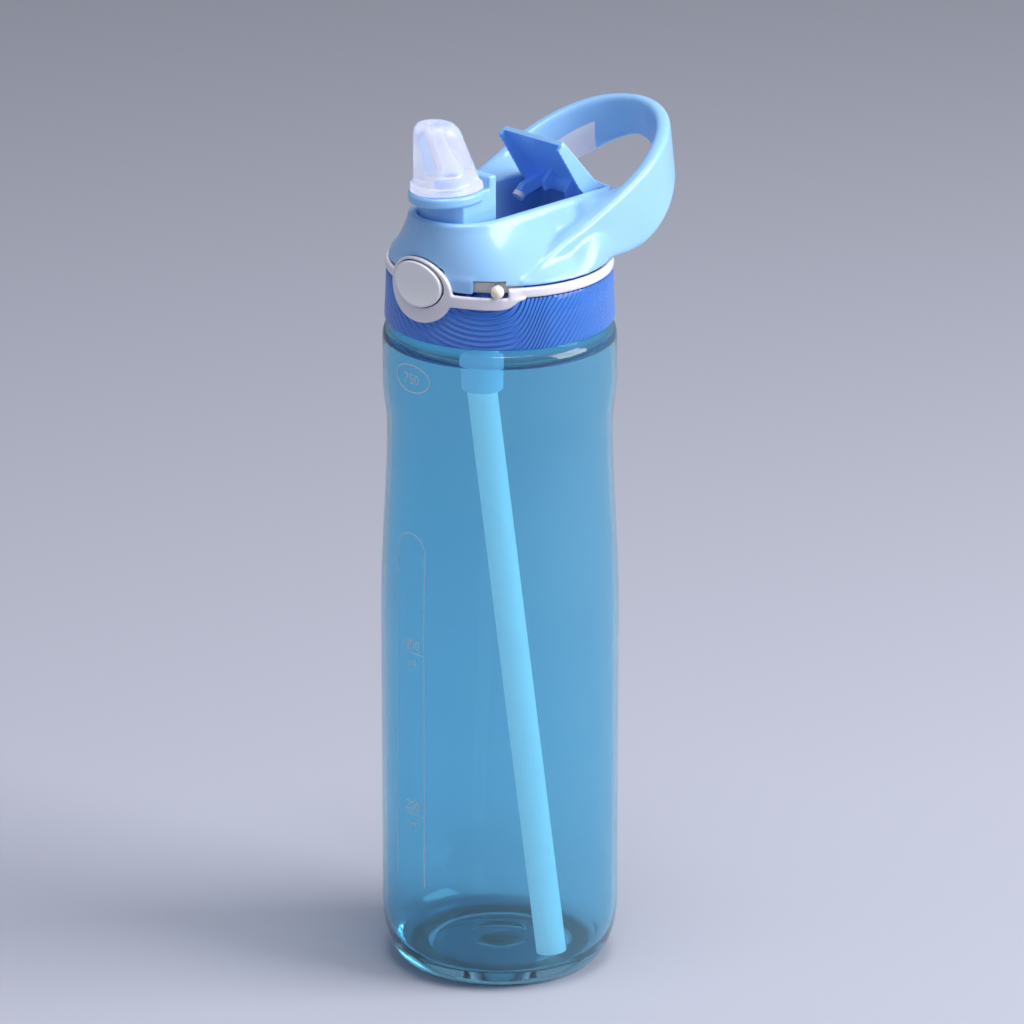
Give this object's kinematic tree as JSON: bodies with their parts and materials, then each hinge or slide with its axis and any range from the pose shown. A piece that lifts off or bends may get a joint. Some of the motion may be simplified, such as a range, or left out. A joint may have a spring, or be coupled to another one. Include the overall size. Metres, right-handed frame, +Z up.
{
  "type": "sports squeeze bottle",
  "caption": "Clear waisted drinking bottle with a screw lid, flip-up silicone spout, folding spout cover, push button, lock slider, inner straw and a carry loop.",
  "frame": {"origin": "on the bottle's axis, on the plane it stands on, in the middle of the flat centre disc of its base", "axes": "+Z up along the bottle's axis; -Y is the front, where the push button is and the spout stands; +Y is the back, towards which the carry loop reaches; +X is the side of the lock slider"},
  "size_m": [0.075, 0.1029, 0.2818],
  "materials": {
    "bottle_clear": "clear tinted, glossy",
    "sky_blue": "satin gloss",
    "deep_blue": "satin, finely grooved",
    "pan_blue": "satin",
    "pearl": "pearl",
    "pearl_button": "pearl, dished",
    "cream": "satin",
    "mouth_silicone": "milky, translucent",
    "milky_silicone": "milky",
    "straw_clear": "translucent",
    "spring_steel": "bright drawn"
  },
  "bodies": {
    "bottle": {"bottle_body": "bottle_clear"},
    "gasket": {"lid_gasket": "milky_silicone"},
    "lid": {"lid_collar": "deep_blue", "lid_pan": "pan_blue", "trim_band": "pearl", "lid_shell": "sky_blue", "loop_insert_left": "pearl", "loop_insert_right": "pearl", "button_spring_left": "spring_steel", "button_spring_right": "spring_steel", "port_seal": "milky_silicone", "spout_pin_left": "spring_steel", "spout_pin_right": "spring_steel", "spout_spring": "spring_steel", "cover_pin": "spring_steel", "cover_spring": "spring_steel", "straw_socket": "milky_silicone", "straw": "straw_clear"},
    "button": {"push_button": "pearl_button", "spout_catch": "pearl"},
    "lock": {"lock_slider": "cream"},
    "spout": {"spout_base": "sky_blue", "mouthpiece": "mouth_silicone"},
    "cover": {"spout_cover": "sky_blue", "vent_plug": "milky_silicone"}
  },
  "joints": [
    {"name": "lid_lift", "type": "slide", "parent": "bottle", "child": "gasket", "axis": [0, 0, 1], "range_m": [0, 0.225]},
    {"name": "lid_turn", "type": "hinge", "parent": "gasket", "child": "lid", "pos_m": [0, 0, 0.2136], "axis": [0, 0, 1], "range_deg": [0, 540]},
    {"name": "button_press", "type": "slide", "parent": "lid", "child": "button", "axis": [0, 1, 0], "range_m": [0, 0.0016], "stiffness_N_per_m": 300, "springref_m": -0.0015, "deforming": ["button_spring_left", "button_spring_right"]},
    {"name": "lock_slide", "type": "hinge", "parent": "lid", "child": "lock", "pos_m": [0, 0, 0.233], "axis": [0, 0, 1], "range_deg": [-9, 0]},
    {"name": "spout_fold", "type": "hinge", "parent": "lid", "child": "spout", "pos_m": [0, -0.022, 0.2358], "axis": [-1, 0, 0], "range_deg": [0, 90], "stiffness_Nm_per_rad": 0.02, "springref_deg": -28.65},
    {"name": "cover_fold", "type": "hinge", "parent": "lid", "child": "cover", "pos_m": [0, 0.0304, 0.2494], "axis": [1, 0, 0], "range_deg": [0, 47.6], "stiffness_Nm_per_rad": 0.006, "springref_deg": -28.65}
  ]
}
